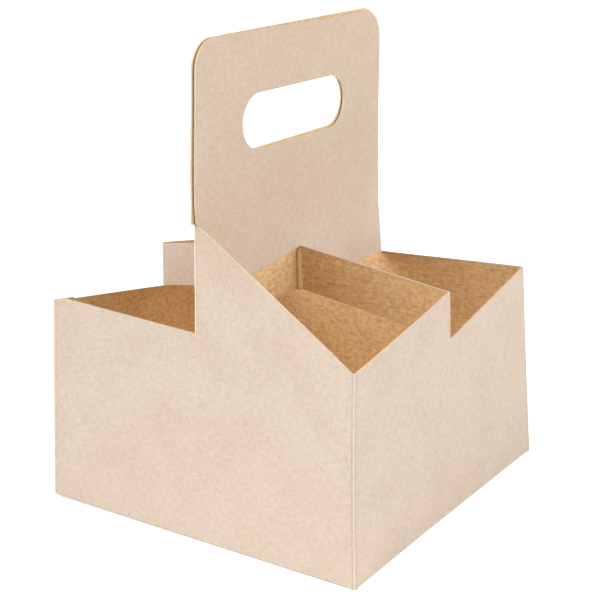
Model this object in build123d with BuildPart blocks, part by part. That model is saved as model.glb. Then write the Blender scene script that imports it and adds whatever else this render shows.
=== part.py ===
from build123d import *
import os

# Carrier for four cups, folded and glued from one die-cut blank of kraft board.
# Sizes are in millimetres. X runs along the two side walls, which carry the handle,
# Y runs along the two end walls, which carry the dividers, and Z is up. The origin
# is the middle of the underside. A half turn about Z lays the carrier on itself,
# so each leaf, cut and flap is made once and turned for its opposite.

# The board and its folds
board = 0.9
corner_bend = 2.4
crease_bend = 0.3
fold_bend_share = 0.88

# Walls, measured over their outer faces at the rim's highest corners
rim_width = 200.0
rim_depth = 195.5
rim_height = 121.0
end_lean = 3.5
side_lean = 7.0
step_height = 117.5
peak_height = 176.0
dip_height = 114.0
notch_height = 104.0

# Handle: two plies back to back, with one hand hole through both
ply_gap = 0.8
ply_clearance = 0.5
handle_height = 270.0
handle_foot = 187.5
handle_top = 182.0
handle_shoulder = 10.0
handle_corner = 14.0
hole_length = 102.0
hole_height = 30.5
hole_level = 221.5

# Dividers, cut from the end walls and turned in to the middle of the handle
divider_hinge_top = 131.0
divider_root_top = 143.5

# Glue lap inside the end wall at the left corner
lap_width = 19.0
lap_rise = 1.0
lap_foot = 3.0

# Bottom: two broad flaps that lock at the middle, under two short ones
seam_gap = 0.6
tongue_inset = 2.0
tongue_width = 52.0
tongue_reach = 26.0
tongue_corner = 7.0
joggle = 4.0
end_flap_depth = 46.0
end_flap_slant = 30.0
end_flap_corner = 6.0
flap_end_gap = 1.5

# One overrun serves all the cuts
overrun = 5.0

# Values worked out from the sizes above
fold_bend = fold_bend_share * board
ply_inner = ply_gap / 2
ply_outer = ply_inner + board
foot_width = rim_width + 2 * end_lean
foot_depth = rim_depth + 2 * side_lean
half_turn = (0, 0, 180)


def end_at(height):
    """Distance from the middle to an end wall's outer face at a height."""
    return rim_width / 2 + end_lean * (1 - height / rim_height)


def side_at(height):
    """Distance from the middle to a side wall's outer face at a height."""
    return rim_depth / 2 + side_lean * (1 - height / rim_height)


# Where the corner folds begin, clear of them at every height
straight_x = end_at(peak_height) - corner_bend
straight_y = side_at(peak_height) - corner_bend


def leaning_form(inset):
    """Solid form of the four walls, with its faces set in from their outer faces."""
    with BuildPart() as form:
        for plane, half_at, how in (
            (Plane.XZ, end_at, Mode.ADD),
            (Plane.YZ, side_at, Mode.INTERSECT),
        ):
            foot = half_at(0) - inset
            top = half_at(peak_height) - inset
            with BuildSketch(plane):
                with BuildLine():
                    Polyline(
                        (-foot, 0),
                        (foot, 0),
                        (top, peak_height),
                        (-top, peak_height),
                        close=True,
                    )
                make_face()
            extrude(amount=foot_width, both=True, mode=how)
        upright = form.edges().group_by(Axis.Z)[1]
        fillet(upright, corner_bend - inset)
    return form.part


def end_edge(y):
    """Height of an end wall's sloping edge, from its notch up to the level rim."""
    return notch_height + (rim_height - notch_height) * abs(y) / straight_y


# What the die cuts away above one side wall and one end wall
with BuildPart() as edge_cut:
    side_reach = end_at(0) + overrun
    cut_top = peak_height + overrun
    with BuildSketch(Plane.XZ.offset(straight_y)):
        with BuildLine():
            Polyline(
                (-side_reach, rim_height),
                (-straight_x, rim_height),
                (-ply_outer, step_height),
                (-ply_outer, peak_height),
                (straight_x, dip_height),
                (side_reach, dip_height),
                (side_reach, cut_top),
                (-side_reach, cut_top),
                close=True,
            )
        make_face()
    extrude(amount=corner_bend + side_lean + overrun)
    with BuildSketch(Plane.YZ.offset(straight_x)):
        with BuildLine():
            Polyline(
                (-straight_y, dip_height),
                (0, divider_hinge_top),
                (0, notch_height),
                (straight_y, rim_height),
                (straight_y, cut_top),
                (-straight_y, cut_top),
                close=True,
            )
        make_face()
    extrude(amount=corner_bend + end_lean + overrun)

# The ply that hangs from the far side wall, and the divider that turns out of it.
# The edge under the ply's free half and the divider's top are the two sides of one cut.
with BuildPart() as leaf:
    hinge_foot = side_at(step_height)
    hinge_peak = side_at(peak_height)
    free_peak = hinge_peak - board - ply_clearance
    free_foot = side_at(divider_hinge_top) - board - ply_clearance
    cut_slope = (divider_root_top - divider_hinge_top) / (rim_width / 2)
    with BuildSketch(Plane.YZ.offset(ply_inner)):
        with BuildLine():
            Polyline(
                (hinge_foot, step_height),
                (hinge_peak, peak_height),
                (handle_foot / 2, peak_height + handle_shoulder),
                (handle_top / 2, handle_height),
                (-handle_top / 2, handle_height),
                (-handle_foot / 2, peak_height + handle_shoulder),
                (-free_peak, peak_height),
                (-free_foot, divider_root_top - cut_slope * free_foot),
                (-board, divider_root_top - cut_slope * board),
                (-board, step_height),
                close=True,
            )
        face = make_face()
        fillet(face.vertices().group_by(Axis.Y)[-1], handle_corner)
        with Locations((0, hole_level)):
            SlotOverall(hole_length, hole_height, mode=Mode.SUBTRACT)
    extrude(amount=board)
    with BuildSketch(Plane.XZ):
        with BuildLine():
            Polyline(
                (ply_inner, step_height),
                (end_at(notch_height), notch_height),
                (end_at(divider_hinge_top), divider_hinge_top),
                (ply_inner, divider_root_top),
                close=True,
            )
        make_face()
    extrude(amount=board)

# The flap of the near side wall, with the tongue that locks over the far flap
with BuildPart() as side_flap:
    flap_side = foot_width / 2 - corner_bend
    tongue_end = tongue_inset + tongue_width
    with BuildSketch():
        with BuildLine():
            Polyline(
                (-flap_side, board / 2 - foot_depth / 2),
                (flap_side, board / 2 - foot_depth / 2),
                (flap_side, -seam_gap / 2),
                (tongue_end, -seam_gap / 2),
                (tongue_end, -joggle),
                (tongue_inset, -joggle),
                (tongue_inset, -seam_gap / 2),
                (-flap_side, -seam_gap / 2),
                close=True,
            )
        make_face()
    extrude(amount=board)
    with BuildSketch(Plane.YZ.offset(tongue_inset)):
        with BuildLine():
            Polyline(
                (-joggle, 0),
                (0, board),
                (0, 2 * board),
                (-joggle, board),
                close=True,
            )
        make_face()
    extrude(amount=tongue_width)
    with BuildSketch(Plane.XY.offset(board)):
        with Locations((tongue_inset + tongue_width / 2, tongue_reach / 2)):
            tongue = Rectangle(tongue_width, tongue_reach)
        fillet(tongue.vertices().group_by(Axis.Y)[-1], tongue_corner)
    extrude(amount=board)

# The short flap of the right end wall, which lies over the side flaps
with BuildPart() as end_flap:
    hinge_x = foot_width / 2 - board / 2
    free_x = foot_width / 2 - end_flap_depth
    root_y = foot_depth / 2 - corner_bend - flap_end_gap
    with BuildSketch(Plane.XY.offset(board)):
        with BuildLine():
            Polyline(
                (hinge_x, -root_y),
                (hinge_x, root_y),
                (free_x, root_y - end_flap_slant),
                (free_x, end_flap_slant - root_y),
                close=True,
            )
        flap = make_face()
        fillet(flap.vertices().group_by(Axis.X)[0], end_flap_corner)
    extrude(amount=board)

# The glue lap, a second thickness of board that follows the left end wall's edge
with BuildPart() as lap:
    add(leaning_form(board))
    add(leaning_form(2 * board), mode=Mode.SUBTRACT)
    lap_start = -straight_y
    lap_end = lap_width - rim_depth / 2
    with BuildSketch(Plane.YZ.offset(-end_at(0))):
        with BuildLine():
            Polyline(
                (lap_start, lap_foot),
                (lap_end, lap_foot),
                (lap_end, end_edge(lap_end) + lap_rise),
                (lap_start, rim_height + lap_rise),
                close=True,
            )
        make_face()
    extrude(amount=end_lean + corner_bend, mode=Mode.INTERSECT)


def folds_through(points):
    """The carrier's edges that pass through some points, and their opposites."""
    edges = carrier.edges()
    turned = [(-x, -y, z) for x, y, z in points]
    return [edges.sort_by_distance(Vertex(point))[0] for point in points + turned]


# The whole folded blank
with BuildPart() as carrier:
    add(leaning_form(0))
    add(leaning_form(board), mode=Mode.SUBTRACT)
    add(edge_cut.part, mode=Mode.SUBTRACT)
    add(edge_cut.part, rotation=half_turn, mode=Mode.SUBTRACT)
    # the end walls turn in one board's thickness higher than the side walls
    with BuildSketch():
        Rectangle(foot_width + overrun, 2 * straight_y)
        Rectangle(foot_width - 2 * corner_bend, 2 * straight_y, mode=Mode.SUBTRACT)
    extrude(amount=board, mode=Mode.SUBTRACT)
    for turn in ((0, 0, 0), half_turn):
        add(leaf.part, rotation=turn)
        add(side_flap.part, rotation=turn)
        add(end_flap.part, rotation=turn)
    add(lap.part)

    # Every fold is a bend of the board, with its outer edge and its inner corner rounded
    hinge_middle = (step_height + peak_height) / 2
    hinge_y = side_at(hinge_middle)
    turn_middle = (notch_height + divider_hinge_top) / 2
    turn_x = end_at(turn_middle)
    root_middle = (step_height + divider_root_top) / 2
    outer_folds = [
        (0, foot_depth / 2, 0),
        (end_at(board), 0, board),
        (ply_outer, hinge_y, hinge_middle),
        (turn_x, 0, turn_middle),
        (ply_inner, -board, root_middle),
    ]
    inner_folds = [
        (ply_inner, hinge_y - board, hinge_middle),
        (turn_x - board, -board, turn_middle),
        (ply_outer, 0, root_middle),
    ]
    fillet(folds_through(outer_folds), fold_bend)
    fillet(folds_through(inner_folds), crease_bend)

carrier.part.label = "carrier"
os.makedirs("parts", exist_ok=True)
export_step(carrier.part, "parts/carrier.step")
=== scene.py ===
"""Looks of a cup carrier that is folded and glued from one blank of kraft board.

The blank is laid out panel by panel, as a die cuts it: walls, handle plies, dividers,
a glue lap and bottom flaps. Panels are flat, folds are bends of the sheet between
them, and the sheet then gets its thickness, with a pale outside, a brown inside and
raw cut edges. Lengths are in millimetres until the mesh is made.
"""

import math

import bpy
import numpy as np
from mathutils import Matrix, Vector, geometry


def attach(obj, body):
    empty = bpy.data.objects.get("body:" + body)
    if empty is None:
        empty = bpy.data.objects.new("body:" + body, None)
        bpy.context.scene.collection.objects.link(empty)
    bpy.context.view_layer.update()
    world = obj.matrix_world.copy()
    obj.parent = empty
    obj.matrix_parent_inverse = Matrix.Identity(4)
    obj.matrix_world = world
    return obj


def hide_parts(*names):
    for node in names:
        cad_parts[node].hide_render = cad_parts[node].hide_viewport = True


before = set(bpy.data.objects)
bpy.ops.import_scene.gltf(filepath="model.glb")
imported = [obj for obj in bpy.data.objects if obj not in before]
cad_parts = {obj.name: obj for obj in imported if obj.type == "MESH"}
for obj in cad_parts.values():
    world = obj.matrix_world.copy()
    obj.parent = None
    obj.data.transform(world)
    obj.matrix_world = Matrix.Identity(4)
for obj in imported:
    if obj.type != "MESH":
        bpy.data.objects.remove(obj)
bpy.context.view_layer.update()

MM = 0.001

# The board and its folds. Faces that would touch are left a hair apart
BOARD = 0.9
CORNER_BEND = 0.4
CORNER_FLANK = 1.5
FOLD_BEND = 1.25
FOOT_BEND = 0.6
ROOT_BEND = 0.35
INNER_BEND = 0.1
FLANK = 0.8
BEND_ROWS = 6
TOUCH = 0.05

# The ridge of the score that stands proud along each divider's root. It is round, from a
# start over a sweep in degrees, fades out under the cut edge and flares at its foot
BEAD_RADIUS = 1.4
BEAD_OUT = 0.35
BEAD_DOWN = 1.3
BEAD_START = 155
BEAD_SWEEP = 200
BEAD_FLANK = 1.7
BEAD_ROWS = 10
BEAD_FADE = 1.5
BEAD_FLARE = 0.3
BEAD_FLARE_POWER = 4

# The walls, as in the part
RIM_WIDTH = 200.0
RIM_DEPTH = 195.5
RIM_HEIGHT = 121.0
END_LEAN = 3.5
SIDE_LEAN = 7.0
STEP_HEIGHT = 117.5
PEAK_HEIGHT = 176.0
DIP_HEIGHT = 114.0
NOTCH_HEIGHT = 104.0

# The handle's plies and the dividers
PLY_OUTER = 1.3
PLY_CLEARANCE = 0.5
HANDLE_HEIGHT = 270.0
HANDLE_FOOT = 187.5
HANDLE_TOP = 182.0
HANDLE_SHOULDER = 10.0
HANDLE_CORNER = 16.0
HINGE_NICK = 0.4
HOLE_LENGTH = 102.0
HOLE_HEIGHT = 30.5
HOLE_LEVEL = 221.5
TURN_TOP = 131.0
ROOT_TOP = 143.5

# The glue lap, and the glued corner: the side wall's edge is highest a short run before
# the corner and drops to the fold, and the end wall's edge lies lower than the lap's
LAP_WIDTH = 15.3
LAP_FOOT = 2.8
LAP_END_TOP = 117.8
CORNER_LIFT = 1.2
CORNER_DROP = 1.7
CORNER_RUN = 7.7
GLUED_EDGE_TOP = 118.0
GLUED_EDGE_FOOT = 102.9

# The bottom. Where a flap lies over another, it rises by one thickness of board
SEAM_GAP = 0.2
TONGUE_INSET = 2.0
TONGUE_WIDTH = 52.0
TONGUE_REACH = 26.0
TONGUE_CORNER = 7.0
JOGGLE = 4.0
JOGGLE_ROWS = 4
END_JOGGLE = 2.4
END_FLAP_DEPTH = 46.0
END_FLAP_SLANT = 30.0
SIDE_FLAP_INSET = 4.0
END_FLAP_INSET = 3.9

# The shape that the carrier has settled into: its right wall bows out at the divider and
# in at the corners, most at the front one, the dividers' roots have moved that way too,
# and its left wall bows out the other way
BOW_OUT = 0.66
BOW_IN = 0.67
FRONT_IN = 0.95
ROOT_OUT = 1.46
ROOT_REACH = 40.0
LEFT_OUT = 1.7

# The feet of its right wall and of its near side wall stand a little out, the first from
# a share of half its length on, and its left corner stands a little off the floor
FOOT_OUT = 1.5
FOOT_OUT_FROM = -0.3
FRONT_FOOT_OUT = 1.5
FOOT_LIFT = 1.9

# The far ply of the handle has turned a little about its hinge
PLY_TURN = math.radians(0.6)
PLY_TURN_FOOT = 150.0
PLY_TURN_RISE = 45.0

# The far hinge is pulled in, and both plies stand nearer to the front, the far ply most
# at its hinge. All of this fades toward the handle's top
HINGE_PULL = 3.5
HINGE_PULL_FOOT = 80.0
HINGE_PULL_RISE = 80.0
HINGE_PULL_REACH = 50.0
HINGE_OUT = 0.8
HANDLE_SHIFT = 1.7
HANDLE_CALM = 190.0
HANDLE_EASE = 70.0

# The handle's far half is a little longer
HANDLE_STRETCH = 1.2
HANDLE_STRETCH_FOOT = 150.0
HANDLE_STRETCH_RISE = 20.0

# Fineness of the mesh. Points inside a panel keep a share of a step off its border, and
# a triangle is left out as a sliver if twice its area is less than SLIVER
STEP = 4.0
BORDER_GAP = 0.55
SLIVER = 0.004
ARC_STEPS = 10
SHARP_ANGLE = math.radians(40)

# Points are one where they fall in the same small step. The offset keeps the limits
# between those steps off round lengths
WELD_STEPS = 500
WELD_OFFSET = 0.137

# How Blender's triangulation is told to keep what lies inside the border, and how exactly
FILL_INSIDE = 1
FILL_EPSILON = 1e-5

# Millimetres of the blank in one unit of its UV map
BLANK_UNIT = 100.0

# Numbers of the board's materials
OUTSIDE_SLOT = 0
INSIDE_SLOT = 1
EDGE_SLOT = 2


def end_at(z):
    """Distance from the middle to an end wall's outer face at a height."""
    return RIM_WIDTH / 2 + END_LEAN * (1 - z / RIM_HEIGHT)


def side_at(z):
    """Distance from the middle to a side wall's outer face at a height."""
    return RIM_DEPTH / 2 + SIDE_LEAN * (1 - z / RIM_HEIGHT)


def half_turned(v):
    """A point or direction after a half turn about the upright axis."""
    return Vector((-v[0], -v[1], v[2]))


def smooth(share):
    """A share that sets in and ends softly, held between 0 and 1."""
    share = np.clip(share, 0, 1)
    return share * share * (3 - 2 * share)


class Panel:
    """A flat area of the blank. Its outline is in two of the part's coordinates."""

    def __init__(self, axes, place, normal, blank):
        self.axes = axes
        self.place = place
        self.normal = Vector(normal).normalized()
        self.blank = blank

    def flat(self, point):
        """The panel's two coordinates of a point."""
        return (point[self.axes[0]], point[self.axes[1]])

    def blank_of(self, point):
        """A point's place on the blank."""
        return self.blank(*self.flat(point))


class Fold:
    """A bend of the sheet along the line where two panels' pale faces would meet.

    Each of its rows goes across the bend, with points, their normals and the way from
    each to the brown face. A hollow fold has the pale face on the inside of the bend.
    """

    def __init__(
        self,
        start,
        end,
        panel_a,
        panel_b,
        radius,
        hollow=False,
        flank=FLANK,
        rows=BEND_ROWS,
    ):
        start, end = Vector(start), Vector(end)
        self.panels = (panel_a, panel_b)
        normal_a, normal_b = panel_a.normal, panel_b.normal
        side = -1 if hollow else 1
        middle = (normal_a + normal_b) / (1 + normal_a.dot(normal_b))
        inner_radius = max(radius - BOARD, INNER_BEND)
        count = max(1, round((end - start).length / STEP))
        turns = [i / rows for i in range(rows + 1)]
        bend = [normal_a.slerp(normal_b, turn) for turn in turns]
        normals = [normal_a] + bend + [normal_b]
        self.rows = []
        for share in [i / count for i in range(count + 1)]:
            edge = start.lerp(end, share)
            centre = edge - side * radius * middle
            points = [centre + side * radius * normal for normal in bend]
            first = points[0] + flank * (points[0] - edge).normalized()
            last = points[-1] + flank * (points[-1] - edge).normalized()
            places = [first] + points + [last]
            backs = [-BOARD * normal for normal in normals]
            if not hollow:
                inner_centre = edge - (BOARD + inner_radius) * middle
                for i, normal in enumerate(bend):
                    backs[i + 1] = inner_centre + inner_radius * normal - points[i]
            self.rows.append(list(zip(places, normals, backs)))

    def line(self, side):
        """The points where the bend meets panel 0 or panel 1, from start to end."""
        return [row[0 if side == 0 else -1][0] for row in self.rows]


class BeadedFold(Fold):
    """A fold bent against its score, whose ridge stands proud on the brown side."""

    def __init__(self, start, end, panel_a, panel_b, radius):
        super().__init__(start, end, panel_a, panel_b, radius, True, BEAD_FLANK, BEAD_ROWS)
        height = end[2] - start[2]
        for number, row in enumerate(self.rows):
            below = height * (1 - number / (len(self.rows) - 1))
            swell = min(1, below / BEAD_FADE)
            size = BEAD_RADIUS * (1 + BEAD_FLARE * (below / height) ** BEAD_FLARE_POWER)
            middle = Vector((start[0] - BEAD_OUT, start[1] - BEAD_DOWN, row[0][0].z))
            for i in range(1, len(row) - 1):
                place, normal, back = row[i]
                angle = math.radians(BEAD_START + BEAD_SWEEP * (i - 1) / (len(row) - 3))
                spoke = Vector((math.cos(angle), math.sin(angle), 0))
                ridge = middle + size * spoke - place
                row[i] = (place, normal, back.lerp(ridge, swell))


class Sheet:
    """The pale face of the blank, folded: points with normals, welded where they meet.

    While it is turned, what is added gets a half turn, for the opposite panels.
    """

    def __init__(self):
        self.places = {}
        self.points = []
        self.normals = []
        self.backs = []
        self.crease = []
        self.faces = []
        self.blanks = []
        self.turned = False

    def vertex(self, point, normal, back=None, crease=0.0):
        """The number of a point, which is added unless it is there already."""
        back = -BOARD * normal if back is None else back
        if self.turned:
            point, normal, back = map(half_turned, (point, normal, back))
        key = tuple(round(c * WELD_STEPS + WELD_OFFSET) for c in point)
        if key not in self.places:
            self.places[key] = len(self.points)
            self.points.append(Vector(point))
            self.normals.append(normal)
            self.backs.append(back)
            self.crease.append(crease)
        return self.places[key]

    def face(self, corners):
        """A face from pairs of a point's number and its place on the blank."""
        corners = list(dict(corners).items())
        if len(corners) < 3:
            return
        a, b, c = (self.points[number] for number, _ in corners[:3])
        if (b - a).cross(c - a).dot(self.normals[corners[0][0]]) < 0:
            corners.reverse()
        shift = BLANK_HALF if self.turned else 0
        self.faces.append([number for number, _ in corners])
        self.blanks.append([(along + shift, up) for _, (along, up) in corners])

    def add_panel(self, panel, outline, hole=()):
        """A panel's faces within its outline, less a hole."""
        flat, triangles = triangulate(outline, hole)
        corners = []
        for at in flat:
            corners.append((self.vertex(panel.place(*at), panel.normal), panel.blank(*at)))
        for triangle in triangles:
            self.face([corners[i] for i in triangle])

    def add_grid(self, grid):
        """The faces between rows of corners."""
        for near, far in zip(grid, grid[1:]):
            for i in range(len(near) - 1):
                self.face([near[i], near[i + 1], far[i + 1], far[i]])

    def add_fold(self, fold, score=1):
        """A fold's faces. Its score is 1 for a painted highlight down the fold with painted
        shade beside it, -1 for a painted shadow at the foot, 0 for none.
        """
        panel_a, panel_b = fold.panels
        grid = []
        for row in fold.rows:
            blank_a = Vector(panel_a.blank_of(row[0][0]))
            blank_b = Vector(panel_b.blank_of(row[-1][0]))
            corners = []
            for i, (point, normal, back) in enumerate(row):
                share = i / (len(row) - 1)
                number = self.vertex(point, normal, back, math.sin(math.pi * share) * score)
                corners.append((number, tuple(blank_a.lerp(blank_b, share))))
            grid.append(corners)
        self.add_grid(grid)

    def add_rise(self, flap, line_at):
        """The rows in which a flap rises by one thickness of board. Gives the last one."""
        grid = []
        for share in np.linspace(0, 1, JOGGLE_ROWS + 1):
            level = UPPER_LEVEL * smooth(share)
            line = line_at(share)
            corners = []
            for at in line:
                corners.append((self.vertex((*at, level), flap.normal), flap.blank(*at)))
            grid.append(corners)
        self.add_grid(grid)
        return line


def run(*corners):
    """An outline's straight edges, cut into steps.

    A list among the corners stays as it is.
    """
    points = []
    for corner in corners:
        part = corner if isinstance(corner, list) else [corner]
        if points:
            start, end = Vector(points[-1]), Vector(part[0])
            count = max(1, round((end - start).length / STEP))
            points += [tuple(start.lerp(end, i / count)) for i in range(1, count)]
        points += part
    return points


def arc(centre, radius, start, end, steps=ARC_STEPS):
    """Points of an arc about a centre, from one angle to another in degrees."""
    x, y = centre
    angles = [math.radians(start + (end - start) * i / steps) for i in range(steps + 1)]
    return [(x + radius * math.cos(a), y + radius * math.sin(a)) for a in angles]


def inside(points, loop):
    """Which points lie within a closed loop."""
    x, y = points[:, 0], points[:, 1]
    found = np.zeros(len(points), bool)
    for (ax, ay), (bx, by) in zip(loop, np.roll(loop, -1, axis=0)):
        if ay != by:
            found ^= ((ay > y) != (by > y)) & (x < (bx - ax) * (y - ay) / (by - ay) + ax)
    return found


def is_sliver(triangle):
    """Whether three points are as good as in line, as along a straight border."""
    first, second = triangle[1] - triangle[0], triangle[2] - triangle[0]
    return abs(first[0] * second[1] - first[1] * second[0]) < SLIVER


def triangulate(outline, hole=()):
    """Fills an outline, less a hole, with triangles of about one step."""
    loops = [np.array(run(*outline, outline[0])[:-1])]
    if hole:
        loops.append(np.array(hole))
    border = np.concatenate(loops)
    low, high = border.min(0), border.max(0)
    columns = np.arange(low[0] + STEP / 2, high[0], STEP)
    rows = np.arange(low[1] + STEP / 2, high[1], STEP)
    grid = np.array([(a, b) for a in columns for b in rows]).reshape(-1, 2)
    if len(grid):
        grid = grid[inside(grid, loops[0])]
        if hole:
            grid = grid[~inside(grid, loops[1])]
        gap = np.linalg.norm(grid[:, None] - border[None], axis=2).min(1)
        grid = grid[gap > STEP * BORDER_GAP]
    points = np.concatenate([border, grid])
    edges = []
    first = 0
    for loop in loops:
        count = len(loop)
        edges += [(first + i, first + (i + 1) % count) for i in range(count)]
        first += count
    corners = [Vector(p) for p in points]
    result = geometry.delaunay_2d_cdt(corners, edges, [], FILL_INSIDE, FILL_EPSILON)
    faces, origin = result[2], result[3]
    numbers = [ids[0] for ids in origin]
    faces = [[numbers[i] for i in face] for face in faces]
    faces = [face for face in faces if not is_sliver(points[face])]
    if hole:
        middles = np.array([points[face].mean(0) for face in faces])
        keep = ~inside(middles, loops[1])
        faces = [face for face, kept in zip(faces, keep) if kept]
    return [tuple(p) for p in points], faces


# The blank's panels, for the right end wall and the far side wall. A half turn gives
# the others
END_NORMAL = (RIM_HEIGHT, 0, END_LEAN)
SIDE_NORMAL = (0, RIM_HEIGHT, SIDE_LEAN)
END_START = RIM_WIDTH
SIDE_START = RIM_WIDTH + RIM_DEPTH
BLANK_HALF = RIM_WIDTH + RIM_DEPTH
PLY_START = SIDE_START + RIM_WIDTH / 2 - PLY_OUTER
UPPER_LEVEL = BOARD + TOUCH

end_wall = Panel(
    (1, 2),
    lambda y, z: (end_at(z), y, z),
    END_NORMAL,
    lambda y, z: (END_START + RIM_DEPTH / 2 + y, z),
)
side_wall = Panel(
    (0, 2),
    lambda x, z: (x, side_at(z), z),
    SIDE_NORMAL,
    lambda x, z: (SIDE_START + RIM_WIDTH / 2 - x, z),
)
near_side_wall = Panel(
    (0, 2),
    lambda x, z: (x, -side_at(z), z),
    (0, -RIM_HEIGHT, SIDE_LEAN),
    lambda x, z: (RIM_WIDTH / 2 + x, z),
)
ply = Panel(
    (1, 2),
    lambda y, z: (PLY_OUTER, y, z),
    (1, 0, 0),
    lambda y, z: (PLY_START - RIM_DEPTH / 2 + y, z),
)
divider = Panel(
    (0, 2),
    lambda x, z: (x, 0, z),
    (0, 1, 0),
    lambda x, z: (PLY_START - RIM_DEPTH / 2 - x, z),
)
side_flap = Panel(
    (0, 1),
    lambda x, y: (x, y, 0),
    (0, 0, -1),
    lambda x, y: (SIDE_START + RIM_WIDTH / 2 - x, y - side_at(0)),
)
tongue = Panel(
    (0, 1),
    lambda x, y: (x, y, UPPER_LEVEL),
    (0, 0, -1),
    lambda x, y: (SIDE_START + RIM_WIDTH / 2 - x, y - side_at(0)),
)
end_flap = Panel(
    (0, 1),
    lambda x, y: (x, y, UPPER_LEVEL),
    (0, 0, -1),
    lambda x, y: (END_START + RIM_DEPTH / 2 + y, x - end_at(0)),
)
lap = Panel(
    (1, 2),
    lambda y, z: (end_at(z) - BOARD - TOUCH, y, z),
    END_NORMAL,
    lambda y, z: (SIDE_START + RIM_DEPTH / 2 - y, z),
)


def corner_point(y_side, z):
    """Where the right end wall's face meets a side wall's, at a height."""
    return (end_at(z), y_side * side_at(z), z)


FLAP_SIDE = end_at(0) - SIDE_FLAP_INSET
END_ROOT = side_at(0) - END_FLAP_INSET
TONGUE_END = TONGUE_INSET + TONGUE_WIDTH
LAP_TOP = RIM_HEIGHT + CORNER_LIFT - CORNER_DROP

front_corner = Fold(
    corner_point(-1, 0),
    corner_point(-1, DIP_HEIGHT),
    near_side_wall,
    end_wall,
    CORNER_BEND,
    flank=CORNER_FLANK,
)
right_corner = Fold(
    corner_point(1, 0),
    corner_point(1, RIM_HEIGHT),
    end_wall,
    side_wall,
    CORNER_BEND,
    flank=CORNER_FLANK,
)
hinge = Fold(
    (PLY_OUTER, side_at(STEP_HEIGHT), STEP_HEIGHT),
    (PLY_OUTER, side_at(PEAK_HEIGHT), PEAK_HEIGHT),
    side_wall,
    ply,
    FOLD_BEND,
)
root = BeadedFold(
    (PLY_OUTER, 0, STEP_HEIGHT),
    (PLY_OUTER, 0, ROOT_TOP),
    ply,
    divider,
    ROOT_BEND,
)
turn = Fold(
    (end_at(NOTCH_HEIGHT), 0, NOTCH_HEIGHT),
    (end_at(TURN_TOP), 0, TURN_TOP),
    divider,
    end_wall,
    FOLD_BEND,
)
side_foot = Fold(
    (-FLAP_SIDE, side_at(0), 0),
    (FLAP_SIDE, side_at(0), 0),
    side_wall,
    side_flap,
    FOOT_BEND,
)
end_foot = Fold(
    (end_at(0), -END_ROOT, 0),
    (end_at(0), END_ROOT, 0),
    end_wall,
    end_flap,
    FOOT_BEND,
)
lap_corner = Fold(
    (end_at(0) - BOARD - TOUCH, side_at(0), 0),
    (end_at(LAP_TOP) - BOARD - TOUCH, side_at(LAP_TOP), LAP_TOP),
    lap,
    side_wall,
    CORNER_BEND,
)


def flat_line(panel, fold, side, backward=False):
    """Where a fold meets its panel 0 or 1, in the panel's two coordinates."""
    points = [panel.flat(p) for p in fold.line(side)]
    return points[::-1] if backward else points


def add_end_wall(sheet, glued):
    """An end wall with its short flap. The glued one ends at the lap instead of a fold."""
    front = flat_line(end_wall, front_corner, 1)
    foot = flat_line(end_wall, end_foot, 0)
    middle = flat_line(end_wall, turn, 1, backward=True)
    if glued:
        far_side = [(side_at(z) - TOUCH, z) for z in (0, LAP_TOP)]
        far_side.append((side_at(LAP_TOP) - CORNER_RUN, GLUED_EDGE_TOP))
        far_side.append((middle[-1][0], GLUED_EDGE_FOOT))
    else:
        far_side = [flat_line(end_wall, right_corner, 0), (middle[-1][0], NOTCH_HEIGHT)]
    outline = [
        front[::-1],
        (foot[0][0], front[0][1]),
        foot,
        (foot[-1][0], front[0][1]),
        *far_side,
        middle[::-1],
    ]
    sheet.add_panel(end_wall, outline)
    sheet.add_fold(turn)
    sheet.add_fold(end_foot, score=0)
    flap_root = flat_line(end_flap, end_foot, 1)
    risen = sheet.add_rise(
        end_flap, lambda share: [(x - END_JOGGLE * share, y) for x, y in flap_root]
    )
    free = end_at(0) - END_FLAP_DEPTH
    reach = END_ROOT - END_FLAP_SLANT
    sheet.add_panel(end_flap, [risen, (free, reach), (free, -reach)])


def add_side_wall(sheet, glued):
    """A side wall with its broad flap. The glued one folds on into the lap."""
    near_corner = lap_corner if glued else right_corner
    near = flat_line(side_wall, near_corner, 1)
    peak = flat_line(side_wall, hinge, 0)
    foot = flat_line(side_wall, side_foot, 0)
    # the far corner is the front corner of the other half, seen after a half turn
    far = [(-p.x, p.z) for p in front_corner.line(0)]
    rim = [(end_at(RIM_HEIGHT) - CORNER_RUN, RIM_HEIGHT + CORNER_LIFT)] if glued else []
    outline = [
        near,
        *rim,
        peak,
        far[::-1],
        (foot[0][0], far[0][1]),
        foot,
        (foot[-1][0], near[0][1]),
    ]
    sheet.add_panel(side_wall, outline)
    sheet.add_fold(near_corner)
    # its foot gets the fold's painted shadow
    sheet.add_fold(side_foot, score=-1)
    add_side_flap(sheet)


def add_side_flap(sheet):
    """A broad flap, whose tongue rises by one thickness of board over the other flap."""
    flap_root = flat_line(side_flap, side_foot, 1)
    seam = SEAM_GAP / 2
    tongue_line = [(-TONGUE_END, JOGGLE), (-TONGUE_INSET, JOGGLE)]
    outline = [
        flap_root[::-1],
        (flap_root[0][0], seam),
        (-TONGUE_END, seam),
        *tongue_line,
        (-TONGUE_INSET, seam),
        (flap_root[-1][0], seam),
    ]
    sheet.add_panel(side_flap, outline)
    across = run(*tongue_line)
    risen = sheet.add_rise(
        side_flap, lambda share: [(x, JOGGLE * (1 - share)) for x, _ in across]
    )
    tip = TONGUE_CORNER - TONGUE_REACH
    tongue_outline = [
        risen,
        arc((-TONGUE_INSET - TONGUE_CORNER, tip), TONGUE_CORNER, 0, -90),
        arc((TONGUE_CORNER - TONGUE_END, tip), TONGUE_CORNER, -90, -180),
    ]
    sheet.add_panel(tongue, tongue_outline)


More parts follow.
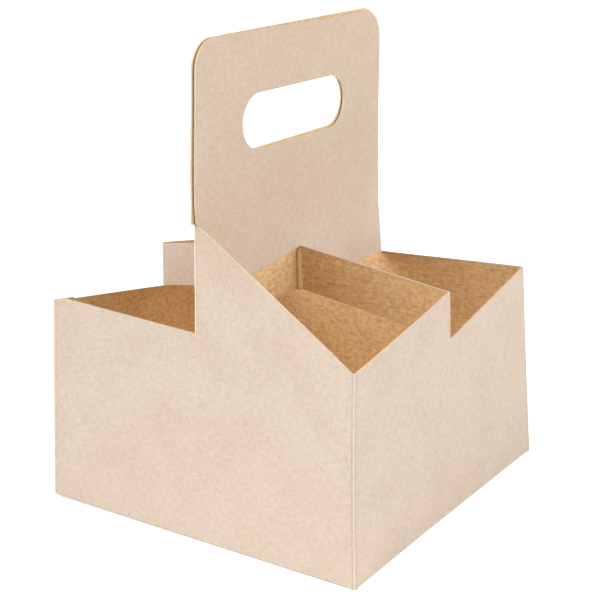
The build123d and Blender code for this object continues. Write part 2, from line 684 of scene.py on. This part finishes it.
def add_leaf(sheet):
    """The ply that hangs from the side wall, and the divider that turns out of it."""
    hang = flat_line(ply, hinge, 1)
    turn_in = flat_line(ply, root, 0)
    slope = (ROOT_TOP - TURN_TOP) / (RIM_WIDTH / 2)
    free_peak = side_at(PEAK_HEIGHT) - BOARD - PLY_CLEARANCE
    free_foot = side_at(TURN_TOP) - BOARD - PLY_CLEARANCE
    shoulder = PEAK_HEIGHT + HANDLE_SHOULDER
    taper = (HANDLE_FOOT - HANDLE_TOP) / 2 / (HANDLE_HEIGHT - shoulder)
    tilt = math.atan(taper)
    drop = HANDLE_HEIGHT - HANDLE_CORNER
    centre = HANDLE_TOP / 2 + taper * HANDLE_CORNER - HANDLE_CORNER / math.cos(tilt)
    tilt = math.degrees(tilt)
    outline = [
        hang,
        (side_at(PEAK_HEIGHT), PEAK_HEIGHT + HINGE_NICK),
        (HANDLE_FOOT / 2, shoulder),
        arc((centre, drop), HANDLE_CORNER, tilt, 90),
        arc((-centre, drop), HANDLE_CORNER, 90, 180 - tilt),
        (-HANDLE_FOOT / 2, shoulder),
        (-free_peak, PEAK_HEIGHT + HINGE_NICK),
        (-free_peak, PEAK_HEIGHT),
        (-free_foot, ROOT_TOP - slope * free_foot),
        turn_in[::-1],
    ]
    half_slot = HOLE_LENGTH / 2 - HOLE_HEIGHT / 2
    hole = run(
        arc((half_slot, HOLE_LEVEL), HOLE_HEIGHT / 2, -90, 90, 2 * ARC_STEPS),
        arc((-half_slot, HOLE_LEVEL), HOLE_HEIGHT / 2, 90, 270, 2 * ARC_STEPS),
        (half_slot, HOLE_LEVEL - HOLE_HEIGHT / 2),
    )[:-1]
    sheet.add_panel(ply, outline, hole)
    sheet.add_fold(hinge)
    sheet.add_fold(root)
    at_root = flat_line(divider, root, 1)
    at_turn = flat_line(divider, turn, 0)
    sheet.add_panel(divider, [at_root, at_turn[::-1]])


def add_lap(sheet):
    """The glue lap, which lies inside the glued end wall."""
    at_corner = flat_line(lap, lap_corner, 0)
    end = side_at(RIM_HEIGHT) - LAP_WIDTH
    sheet.add_panel(lap, [at_corner, (end, LAP_END_TOP), (end, LAP_FOOT)])


def fold_blank():
    """The whole folded blank: one half, the other after a half turn, and its lap."""
    sheet = Sheet()
    for turned in (False, True):
        sheet.turned = turned
        add_end_wall(sheet, glued=turned)
        add_side_wall(sheet, glued=turned)
        sheet.add_fold(front_corner)
        add_leaf(sheet)
    add_lap(sheet)
    return sheet


def settle(points):
    """Moves points to where the bows and turns of the settled carrier take them."""
    x, y, z = points.T
    across = x / (RIM_WIDTH / 2)
    along = y / (RIM_DEPTH / 2)
    right, left = np.clip(across, 0, 1), np.clip(-across, 0, 1)
    far, near = np.clip(along, 0, 1), np.clip(-along, 0, 1)
    low = 1 - np.clip(z / RIM_HEIGHT, 0, 1)
    # the bows of the walls
    above = smooth((PEAK_HEIGHT - z) / (PEAK_HEIGHT - RIM_HEIGHT))
    amount = np.sin(np.pi / 2 * np.clip(z / RIM_HEIGHT, 0, 1)) * above
    corner = (across * along) ** 2
    front = (np.maximum(across, 0) * np.maximum(-along, 0)) ** 2
    bow = BOW_OUT * (1 - corner) - BOW_IN * corner - FRONT_IN * front
    bow = bow + ROOT_OUT * np.exp(-(x * x + y * y) / ROOT_REACH ** 2)
    left_bow = left ** 2 * (1 - corner)
    # the walls' feet
    foot = low * right * np.clip((along - FOOT_OUT_FROM) / (1 - FOOT_OUT_FROM), 0, 1)
    front_foot = low * right * near
    lift = low * left * near
    # the handle and its hinges
    far_ply = (x < 0) & (x > -2 * PLY_OUTER)
    turned = PLY_TURN * smooth((z - PLY_TURN_FOOT) / PLY_TURN_RISE) * far_ply
    high = 1 - smooth((z - HANDLE_CALM) / HANDLE_EASE)
    above_peak = (np.abs(x) < 2 * PLY_OUTER) & (z > PEAK_HEIGHT)
    pull = HINGE_PULL * smooth((z - HINGE_PULL_FOOT) / HINGE_PULL_RISE)
    pull *= far * np.exp(-((x / HINGE_PULL_REACH) ** 2))
    stand = HANDLE_SHIFT + HINGE_OUT * near * far_ply
    shift = high * np.where(above_peak, np.maximum(stand, pull), pull)
    stretch = smooth((z - HANDLE_STRETCH_FOOT) / HANDLE_STRETCH_RISE) * far
    moved = points.copy()
    moved[:, 0] += amount * (bow - LEFT_OUT * left_bow) + FOOT_OUT * foot
    moved[:, 1] += HANDLE_STRETCH * stretch - FRONT_FOOT_OUT * front_foot
    moved[:, 1] -= turned * (z - PEAK_HEIGHT) + shift
    moved[:, 2] += turned * (y + side_at(PEAK_HEIGHT)) + FOOT_LIFT * lift
    return moved


def board_mesh(sheet, name):
    """Gives the folded sheet its thickness: pale skin, brown skin and cut edges.

    Its attributes are the crease, from the folds' scores, and the rim, which is 1 at the
    points of the cut edges.
    """
    count = len(sheet.points)
    outer = np.array(sheet.points)
    inner = outer + np.array(sheet.backs)
    faces = list(sheet.faces)
    blanks = [place for face in sheet.blanks for place in face]
    slots = [OUTSIDE_SLOT] * len(faces)
    rim = np.zeros(2 * count, np.float32)
    used = {}
    for face, places in zip(sheet.faces, sheet.blanks):
        ends = zip(places, places[1:] + places[:1])
        used.update(zip(zip(face, face[1:] + face[:1]), ends))
        faces.append([i + count for i in reversed(face)])
        blanks += reversed(places)
        slots.append(INSIDE_SLOT)
    for (a, b), (place_a, place_b) in used.items():
        if (b, a) not in used:
            faces.append([b, a, a + count, b + count])
            blanks += [place_b, place_a, place_a, place_b]
            slots.append(EDGE_SLOT)
            rim[[a, b, a + count, b + count]] = 1
    mesh = bpy.data.meshes.new(name)
    places = settle(np.concatenate([outer, inner])) * MM
    mesh.from_pydata(places.tolist(), [], faces)
    mesh.polygons.foreach_set("material_index", slots)
    mesh.update()
    uv = mesh.uv_layers.new(name="blank")
    uv.data.foreach_set("uv", (np.array(blanks) / BLANK_UNIT).ravel())
    crease = np.array(sheet.crease * 2, np.float32)
    for attribute, values in (("crease", crease), ("rim", rim)):
        layer = mesh.attributes.new(attribute, "FLOAT", "POINT")
        layer.data.foreach_set("value", values)
    mesh.polygons.foreach_set("use_smooth", [True] * len(faces))
    mesh.set_sharp_from_angle(angle=SHARP_ANGLE)
    return mesh


def add_object(name, data):
    """A new object in the scene."""
    made = bpy.data.objects.new(name, data)
    bpy.context.scene.collection.objects.link(made)
    return made


def linear(level):
    """The shader's value of a picture's level, by the usual curve of such pictures."""
    level /= 255
    return level / 12.92 if level <= 0.04045 else ((level + 0.055) / 1.055) ** 2.4


def srgb(red, green, blue):
    """A shader colour from the red, green and blue of a picture."""
    return (linear(red), linear(green), linear(blue), 1.0)


class Nodes:
    """A node tree, with short ways to add nodes and link them."""

    def __init__(self, tree):
        self.nodes = tree.nodes
        self.links = tree.links

    def give(self, socket, value):
        """Links an input to another node's output, or sets its own value."""
        if isinstance(value, bpy.types.NodeSocket):
            self.links.new(value, socket)
        else:
            socket.default_value = value

    def node(self, kind, inputs=(), **settings):
        """Adds a node, sets it up, and sets or links its inputs."""
        node = self.nodes.new("ShaderNode" + kind)
        for name, value in settings.items():
            setattr(node, name, value)
        for name, value in dict(inputs).items():
            self.give(node.inputs[name], value)
        return node

    def reckon(self, operation, *values, **settings):
        """The result of an operation on some values."""
        inputs = dict(enumerate(values))
        return self.node("Math", inputs, operation=operation, **settings).outputs[0]

    def band(self, value, low, high, to_low=0.0, to_high=1.0):
        """A value that goes smoothly from one number to another over a range."""
        inputs = {"Value": value, "From Min": low, "From Max": high}
        inputs.update({"To Min": to_low, "To Max": to_high})
        node = self.node("MapRange", inputs, interpolation_type="SMOOTHSTEP")
        return node.outputs["Result"]

    def noise(self, place, unit, size, detail=2.0, offset=0.0):
        """Noise whose spots have a size in millimetres, in a coordinate of some unit.

        The offset sets one pattern apart from the next.
        """
        scale = [unit / part for part in size]
        inputs = {"Vector": place, "Scale": scale, "Location": (offset, 0, 0)}
        where = self.node("Mapping", inputs).outputs[0]
        spots = self.node("TexNoise", {"Vector": where, "Scale": 1.0, "Detail": detail})
        return spots.outputs["Fac"]

    def total(self, patterns, weights):
        """The middle plus what some patterns differ from it, each times its weight."""
        value = MIDDLE - sum(weight * MIDDLE for weight in weights.values())
        for name, weight in weights.items():
            value = self.reckon("MULTIPLY_ADD", patterns[name], weight, value)
        return value

    def mix(self, share, first, second, blend="MIX"):
        """Two colours, mixed by a share of the second."""
        node = self.node("Mix", data_type="RGBA", blend_type=blend)
        parts = {"Factor_Float": share, "A_Color": first, "B_Color": second}
        for name, value in parts.items():
            self.give(next(s for s in node.inputs if s.identifier == name), value)
        return next(s for s in node.outputs if s.identifier == "Result_Color")


class Paint(Nodes):
    """One material and its nodes, built up around the Principled shader."""

    def __init__(self, name):
        self.material = bpy.data.materials.new(name)
        self.material.use_nodes = True
        super().__init__(self.material.node_tree)
        self.shader = self.nodes["Principled BSDF"]

    def finish(self, colour, roughness, height, depth):
        """Gives the shader its colour, its roughness and bumps of a depth."""
        inputs = {"Height": height, "Strength": BUMP_STRENGTH, "Distance": depth * MM}
        bump = self.node("Bump", inputs)
        self.links.new(colour, self.shader.inputs["Base Color"])
        self.links.new(roughness, self.shader.inputs["Roughness"])
        self.links.new(bump.outputs[0], self.shader.inputs["Normal"])
        self.shader.inputs["Specular IOR Level"].default_value = KRAFT_GLOSS
        return self.material


# How the two faces of the board look, in colours from deep to pale, and the painted light
# and shade of the folds, feet and handle
OUTSIDE_DEEP = srgb(193, 172, 149)
OUTSIDE_PALE = srgb(227, 212, 198)
# a painted highlight down the middle of the folds, standing in for light that the bends
# would catch
CREASE_PAINTED_LIGHT = srgb(240, 227, 212)
# a painted shadow along the side walls' feet, where the floor shades them
FOOT_PAINTED_SHADE = srgb(150, 132, 120)
INSIDE_DEEP = srgb(212, 170, 118)
INSIDE_PALE = srgb(254, 225, 178)
# a painted highlight on the brown side of the folds and of the divider's bead
FOLD_INSIDE_LIGHT = srgb(250, 226, 188)
EDGE_DEEP = srgb(212, 188, 160)
EDGE_PALE = srgb(240, 222, 200)
SPECK = srgb(150, 112, 76)
# painted shade on the handle, for the light from below that it misses
HANDLE_PAINTED_SHADE = (0.94, 0.905, 0.86, 1.0)
KRAFT_GLOSS = 0.1

# Sizes of the fibres, streaks, clouds and specks, in millimetres along and up the blank
ALONG_FIBRE = (4.5, 0.6, 1.0)
UP_FIBRE = (0.6, 4.5, 1.0)
FINE_FIBRE = (0.7, 0.7, 1.0)
MOTTLE = (3.6, 2.6, 1.0)
STREAK = (14.0, 1.3, 1.0)
CLOUD = (26.0, 26.0, 26.0)
SPECK_SPOT = (1.1, 1.1, 1.0)
FUR = (0.5, 0.5, 0.5)
PATCH = (5.0, 5.0, 5.0)

# The middle of a pattern's values, and how much each pattern counts in a face's colour
MIDDLE = 0.5
OUTSIDE_TONES = {"along": 0.7, "up": 0.7, "fine": 0.5, "mottle": 0.4, "cloud": 0.35}
INSIDE_TONES = {"along": 1.0, "up": 0.8, "mottle": 1.5, "streak": 0.7, "cloud": 0.5}
EDGE_TONES = {"fur": 1.0, "patch": 0.8}

# How much each pattern counts in the bumps, and their depths in millimetres
OUTSIDE_BUMPS = {"along": 1.0, "up": 1.0, "fine": 0.6}
INSIDE_BUMPS = {"along": 1.0, "up": 0.6, "mottle": 1.0}
OUTSIDE_BUMP_DEPTH = 0.12
INSIDE_BUMP_DEPTH = 0.15
EDGE_BUMP_DEPTH = 0.1
BUMP_STRENGTH = 0.35

# Bands: the range of a value, and what it gives at the range's two ends. The first ones
# are of the crease, which is 0 beside a fold and 1 or -1 in the middle of it
SCORE_IN = (0.0, 0.12)
SCORE_OUT = (0.14, 0.3, 1.0, 0.0)
CREASE_LIGHT_BAND = (0.2, 0.6, 0.0, 0.8)
FOOT_SHADE_BAND = (-0.8, -0.4, 0.8, 0.0)
FOLD_INSIDE_LIGHT_BAND = (0.3, 0.8)
# painted light on the brown face near its cut edges
RIM_LIGHT_BAND = (0.5, 0.95, 0.0, 0.7)
OUTSIDE_SPECKS = (0.80, 0.86, 0.0, 0.5)
INSIDE_SPECKS = (0.78, 0.86, 0.0, 0.4)
OUTSIDE_ROUGHNESS = (0.3, 0.7, 0.86, 0.74)
INSIDE_ROUGHNESS = (0.3, 0.7, 0.92, 0.80)
EDGE_ROUGHNESS = (0.3, 0.7, 0.95, 0.85)

# How far the painted shade beside a score deepens the pale face, and a fold's painted
# highlight pales the brown one
SCORE_SHADE_DEPTH = -0.5
FOLD_PAINTED_LIGHT = 0.6

# Heights on the blank between which the handle's painted shade sets in
HANDLE_SHADE_FOOT = 135.0
HANDLE_SHADE_HEAD = 185.0


def outside_paint():
    """The pale face: fine fibres crossed like linen, faint clouds and a few dark specks,
    with painted light and shade at the folds, the side walls' feet and the handle.
    """
    paint = Paint("kraft_outside")
    blank = paint.node("UVMap", uv_map="blank").outputs[0]
    place = paint.node("TexCoord").outputs["Object"]
    patterns = {
        "along": paint.noise(blank, BLANK_UNIT, ALONG_FIBRE),
        "up": paint.noise(blank, BLANK_UNIT, UP_FIBRE, offset=3.0),
        "fine": paint.noise(blank, BLANK_UNIT, FINE_FIBRE, offset=7.0),
        "mottle": paint.noise(blank, BLANK_UNIT, MOTTLE, offset=11.0),
        "cloud": paint.noise(place, 1 / MM, CLOUD),
    }
    spots = paint.noise(blank, BLANK_UNIT, SPECK_SPOT, detail=0.0, offset=19.0)
    share = paint.total(patterns, OUTSIDE_TONES)
    crease = paint.node("Attribute", attribute_name="crease").outputs["Fac"]
    score_in, score_out = paint.band(crease, *SCORE_IN), paint.band(crease, *SCORE_OUT)
    score = paint.reckon("MULTIPLY", score_in, score_out)
    # painted shade in thin lines beside each scored fold
    score_shaded = paint.reckon("MULTIPLY_ADD", score, SCORE_SHADE_DEPTH, share)
    colour = paint.mix(score_shaded, OUTSIDE_DEEP, OUTSIDE_PALE)
    # a painted highlight down the middle of each fold
    colour = paint.mix(paint.band(crease, *CREASE_LIGHT_BAND), colour, CREASE_PAINTED_LIGHT)
    # a painted shadow along the side walls' feet
    colour = paint.mix(paint.band(crease, *FOOT_SHADE_BAND), colour, FOOT_PAINTED_SHADE)
    up_blank = paint.node("SeparateXYZ", {"Vector": blank}).outputs["Y"]
    handle_shade = paint.band(up_blank, HANDLE_SHADE_FOOT / BLANK_UNIT, HANDLE_SHADE_HEAD / BLANK_UNIT)
    # painted shade over the handle, from its foot upward
    colour = paint.mix(handle_shade, colour, HANDLE_PAINTED_SHADE, "MULTIPLY")
    colour = paint.mix(paint.band(spots, *OUTSIDE_SPECKS), colour, SPECK)
    height = paint.total(patterns, OUTSIDE_BUMPS)
    roughness = paint.band(share, *OUTSIDE_ROUGHNESS)
    return paint.finish(colour, roughness, height, OUTSIDE_BUMP_DEPTH)


def inside_paint():
    """The brown face: rougher, mottled, with streaks along the board machine's run, and
    painted highlights along the folds and near the cut edges.
    """
    paint = Paint("kraft_inside")
    blank = paint.node("UVMap", uv_map="blank").outputs[0]
    place = paint.node("TexCoord").outputs["Object"]
    patterns = {
        "along": paint.noise(blank, BLANK_UNIT, ALONG_FIBRE, offset=23.0),
        "up": paint.noise(blank, BLANK_UNIT, UP_FIBRE, offset=27.0),
        "mottle": paint.noise(blank, BLANK_UNIT, MOTTLE, detail=3.0, offset=31.0),
        "streak": paint.noise(blank, BLANK_UNIT, STREAK, offset=37.0),
        "cloud": paint.noise(place, 1 / MM, CLOUD),
    }
    spots = paint.noise(blank, BLANK_UNIT, SPECK_SPOT, detail=0.0, offset=41.0)
    share = paint.total(patterns, INSIDE_TONES)
    crease = paint.node("Attribute", attribute_name="crease").outputs["Fac"]
    # painted light that pales the brown face on the folds, and a little painted shade at
    # the side walls' feet
    share = paint.reckon("MULTIPLY_ADD", crease, FOLD_PAINTED_LIGHT, share)
    colour = paint.mix(share, INSIDE_DEEP, INSIDE_PALE)
    # a painted highlight down the brown side of the folds and the divider's bead
    colour = paint.mix(paint.band(crease, *FOLD_INSIDE_LIGHT_BAND), colour, FOLD_INSIDE_LIGHT)
    rim = paint.node("Attribute", attribute_name="rim").outputs["Fac"]
    # painted light that pales the brown face near its cut edges, as light into the gap
    # between the plies would
    colour = paint.mix(paint.band(rim, *RIM_LIGHT_BAND), colour, EDGE_DEEP)
    colour = paint.mix(paint.band(spots, *INSIDE_SPECKS), colour, SPECK)
    height = paint.total(patterns, INSIDE_BUMPS)
    roughness = paint.band(share, *INSIDE_ROUGHNESS)
    return paint.finish(colour, roughness, height, INSIDE_BUMP_DEPTH)


def edge_paint():
    """The cut edges: raw, pale and a little furry."""
    paint = Paint("kraft_edge")
    place = paint.node("TexCoord").outputs["Object"]
    patterns = {
        "fur": paint.noise(place, 1 / MM, FUR, detail=3.0),
        "patch": paint.noise(place, 1 / MM, PATCH, offset=5.0),
    }
    share = paint.total(patterns, EDGE_TONES)
    colour = paint.mix(share, EDGE_DEEP, EDGE_PALE)
    roughness = paint.band(share, *EDGE_ROUGHNESS)
    return paint.finish(colour, roughness, patterns["fur"], EDGE_BUMP_DEPTH)


board_data = board_mesh(fold_blank(), "carrier_board")
for material in (outside_paint(), inside_paint(), edge_paint()):
    board_data.materials.append(material)
board = add_object("carrier_board", board_data)
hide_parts("carrier")
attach(board, "root")


# The floor, in metres. Its lift is how brightly it shines of itself where it is seen
FLOOR_HALF = 3.0
FLOOR_LEVEL = -0.0002
FLOOR_SHADE = 0.85
FLOOR_LIFT = 0.5

# The light: a dim white dome, and soft lamps, each with its name, its azimuth, its height
# above the floor and its spread in degrees, and its strength
DOME = 0.1
LAMPS = (
    ("low_back", 60, 12, 45, 2.1),
    ("low_left", 208, 12, 45, 1.35),
    ("high_right", 30, 40, 45, 0.6),
    ("front_right", 357, 26, 40, 0.95),
    ("high_left", 236, 43, 50, 2.5),
)


def seen_rays(tree):
    """1 for rays from the camera, or seen in gloss or through glass, and 0 for light."""
    rays = tree.node("LightPath").outputs
    glass = tree.reckon("ADD", rays["Is Glossy Ray"], rays["Is Transmission Ray"])
    return tree.reckon("ADD", rays["Is Camera Ray"], glass, use_clamp=True)


def floor_paint():
    """White to the camera where the light is open, and grey only in the object's shadow."""
    paint = Paint("floor_white")
    values = {
        "Base Color": (FLOOR_SHADE, FLOOR_SHADE, FLOOR_SHADE, 1),
        "Roughness": 1.0,
        "Specular IOR Level": 0.0,
        "Emission Color": (1, 1, 1, 1),
    }
    for name, value in values.items():
        paint.shader.inputs[name].default_value = value
    lift = paint.reckon("MULTIPLY", seen_rays(paint), FLOOR_LIFT)
    paint.links.new(lift, paint.shader.inputs["Emission Strength"])
    return paint.material


def studio_world():
    """A soft white dome, which the camera sees as plain white."""
    world = bpy.data.worlds.new("studio")
    world.use_nodes = True
    tree = Nodes(world.node_tree)
    level = tree.band(seen_rays(tree), 0.0, 1.0, DOME, 1.0)
    background = tree.nodes["Background"]
    background.inputs["Color"].default_value = (1, 1, 1, 1)
    tree.links.new(level, background.inputs["Strength"])
    return world


def add_lamp(name, azimuth, height, spread, strength):
    """A distant lamp, whose light comes from an azimuth and height in degrees."""
    lamp_data = bpy.data.lights.new(name, "SUN")
    lamp_data.energy = strength
    lamp_data.angle = math.radians(spread)
    lamp = add_object(name, lamp_data)
    azimuth, height = math.radians(azimuth), math.radians(height)
    to_lamp = Vector((
        math.cos(height) * math.cos(azimuth),
        math.cos(height) * math.sin(azimuth),
        math.sin(height),
    ))
    lamp.rotation_euler = to_lamp.to_track_quat("Z", "Y").to_euler()


floor_data = bpy.data.meshes.new("floor")
floor_sides = ((-1, -1), (1, -1), (1, 1), (-1, 1))
floor_corners = [(x * FLOOR_HALF, y * FLOOR_HALF, 0) for x, y in floor_sides]
floor_data.from_pydata(floor_corners, [], [(0, 1, 2, 3)])
floor_data.materials.append(floor_paint())
floor = add_object("floor", floor_data)
floor.location.z = FLOOR_LEVEL

bpy.context.scene.world = studio_world()
for lamp_values in LAMPS:
    add_lamp(*lamp_values)

# The camera, as fitted to the photograph's corners
AZIMUTH = math.radians(33.45)
PITCH = math.radians(17.38)
ROLL = math.radians(-0.69)
CAMERA_PLACE = (0.4252, -0.6406, 0.3506)
FOCAL_PIXELS = 1373.3
FRAME_PIXELS = 600
SENSOR = 36.0

camera_data = bpy.data.cameras.new("camera")
camera = add_object("camera", camera_data)
back = Vector((
    math.sin(AZIMUTH) * math.cos(PITCH),
    -math.cos(AZIMUTH) * math.cos(PITCH),
    math.sin(PITCH),
))
right = (-back).cross(Vector((0, 0, 1))).normalized()
upright = Matrix((right, right.cross(-back), back)).transposed()
turned_view = (upright @ Matrix.Rotation(ROLL, 3, "Z")).to_4x4()
camera.matrix_world = Matrix.Translation(CAMERA_PLACE) @ turned_view
camera_data.sensor_fit = "HORIZONTAL"
camera_data.sensor_width = SENSOR
camera_data.lens = FOCAL_PIXELS * SENSOR / FRAME_PIXELS
bpy.context.scene.camera = camera
bpy.context.scene.view_settings.view_transform = "Standard"

bpy.context.view_layer.update()
